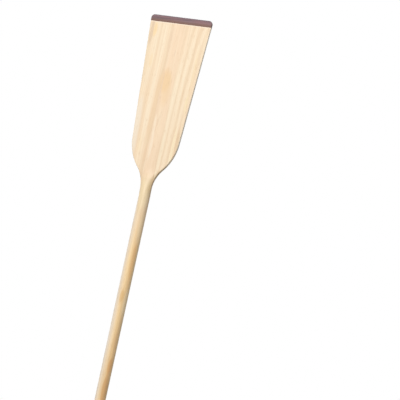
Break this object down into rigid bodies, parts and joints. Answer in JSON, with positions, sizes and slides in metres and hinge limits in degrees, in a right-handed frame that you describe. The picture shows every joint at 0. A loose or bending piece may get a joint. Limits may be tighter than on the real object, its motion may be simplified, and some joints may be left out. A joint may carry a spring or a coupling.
{
  "type": "dragon boat paddle",
  "caption": "Wooden dragon boat paddle: straight-tipped flat blade with a raised ridge on its back, dark hardwood end strip, long round tapered shaft and T handle.",
  "frame": {"origin": "on the shaft's centre line, level with the outermost line of the T handle, where the top hand's palm holds the paddle", "axes": "+Z along the shaft from the handle to the blade's tip, X across the blade along the handle's bar, -Y out of the blade's flat face, +Y out of its ridged back"},
  "size_m": [0.1758, 0.033, 1.27],
  "materials": {
    "shaft_wood": "clear satin varnish over pale straight-grained softwood",
    "left_board_wood": "clear satin varnish over pale softwood",
    "right_board_wood": "clear satin varnish over pale softwood",
    "tip_hardwood": "clear satin varnish over dark hardwood",
    "spline_wood": "bare wood, hidden in the joint",
    "handle_wood": "clear satin varnish over pale wood",
    "pin_wood": "varnished end grain"
  },
  "bodies": {
    "root": {"shaft_spine": "shaft_wood", "wing_left": "left_board_wood", "wing_right": "right_board_wood", "blade_tip": "tip_hardwood", "tip_spline": "spline_wood", "t_grip": "handle_wood", "grip_dowel_pin": "pin_wood"}
  },
  "joints": []
}
